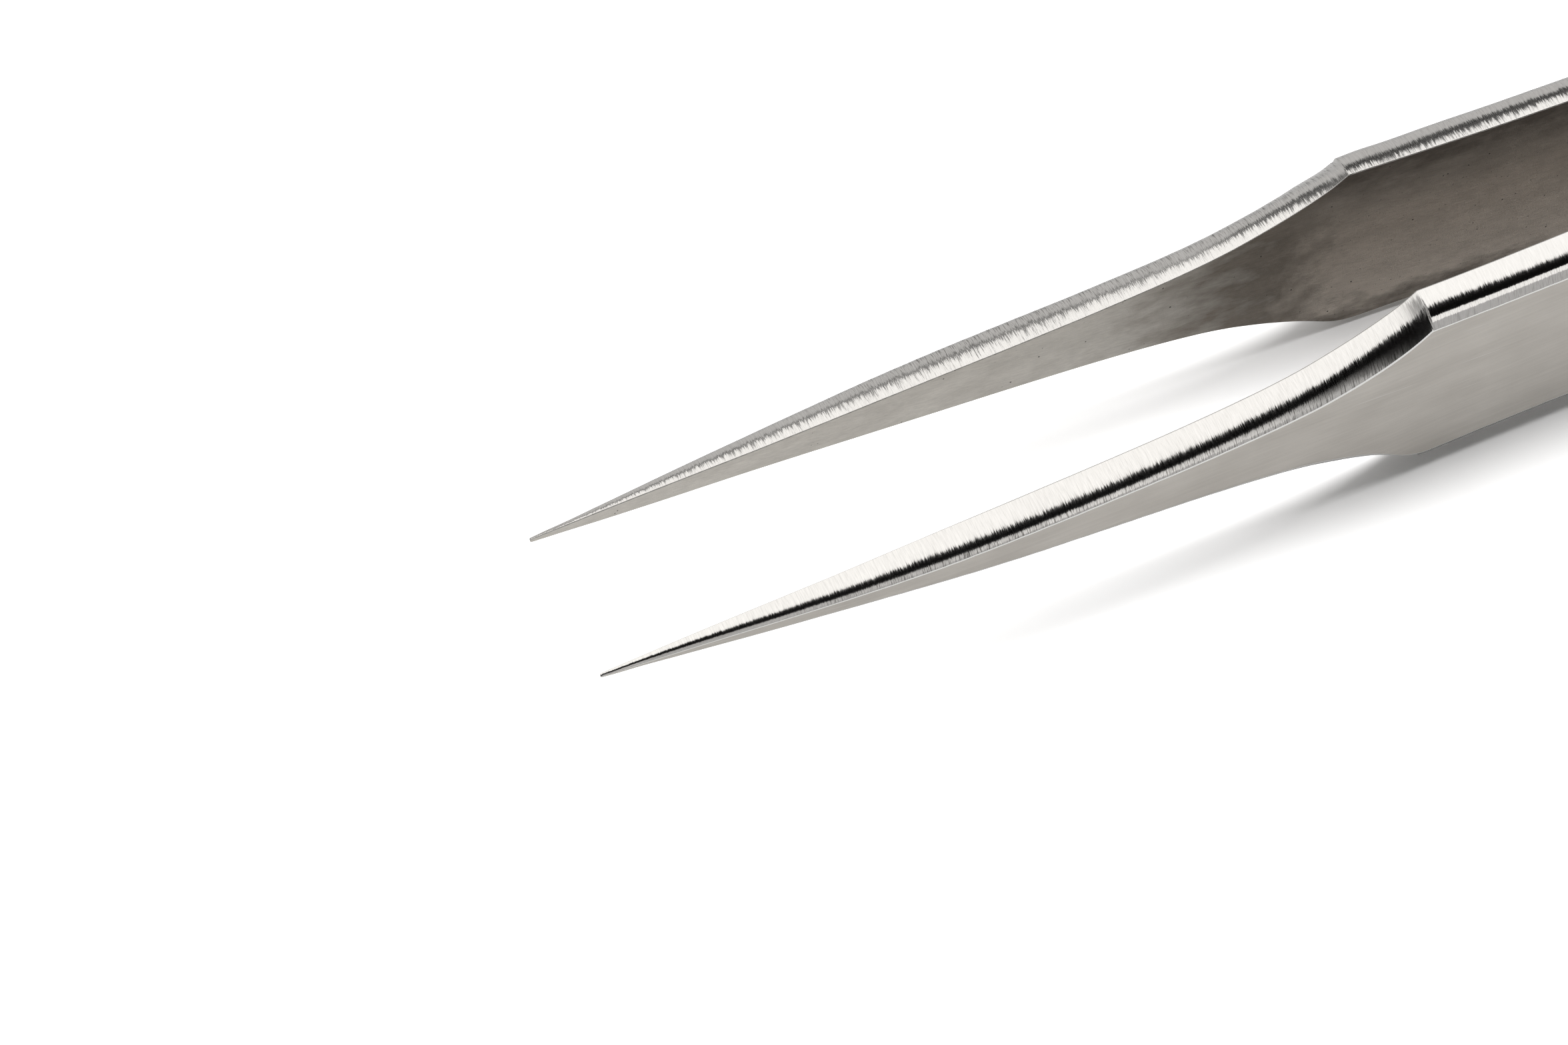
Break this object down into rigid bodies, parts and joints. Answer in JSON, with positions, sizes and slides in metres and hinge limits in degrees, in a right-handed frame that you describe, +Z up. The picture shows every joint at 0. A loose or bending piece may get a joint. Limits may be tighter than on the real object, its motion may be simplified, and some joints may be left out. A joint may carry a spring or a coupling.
{
  "type": "precision tweezers",
  "caption": "Straight fine-point spring tweezers: two ground and brushed steel arms joined at a spot-welded heel with a flat spacer.",
  "frame": {"origin": "centre of the bounding box in plan, on the surface the tweezers rest on", "axes": "+X along the tool from the points to the heel, +Y in the opening direction from the left arm to the right arm, +Z up across the width of the arms"},
  "size_m": [0.12, 0.0088, 0.01],
  "materials": {
    "arm_steel": "satin, brushed along the arm, flanks ground crosswise",
    "spacer_steel": "dull sheet finish",
    "weld_steel": "smooth, slightly heat-tinted electrode mark"
  },
  "bodies": {
    "heel": {"heel_spacer": "spacer_steel", "spot_welds": "weld_steel", "left_arm_tail": "arm_steel", "right_arm_tail": "arm_steel"},
    "left_arm": {"left_arm_blade": "arm_steel"},
    "right_arm": {"right_arm_blade": "arm_steel"}
  },
  "joints": [
    {"name": "left_arm_flex", "type": "hinge", "parent": "heel", "child": "left_arm", "pos_m": [0.032, -0.00123, 0.005], "axis": [0, 0, -1], "range_deg": [0, 1.95], "stiffness_Nm_per_rad": 3.5},
    {"name": "right_arm_flex", "type": "hinge", "parent": "heel", "child": "right_arm", "pos_m": [0.032, 0.00123, 0.005], "axis": [0, 0, 1], "range_deg": [0, 1.95], "stiffness_Nm_per_rad": 3.5}
  ]
}
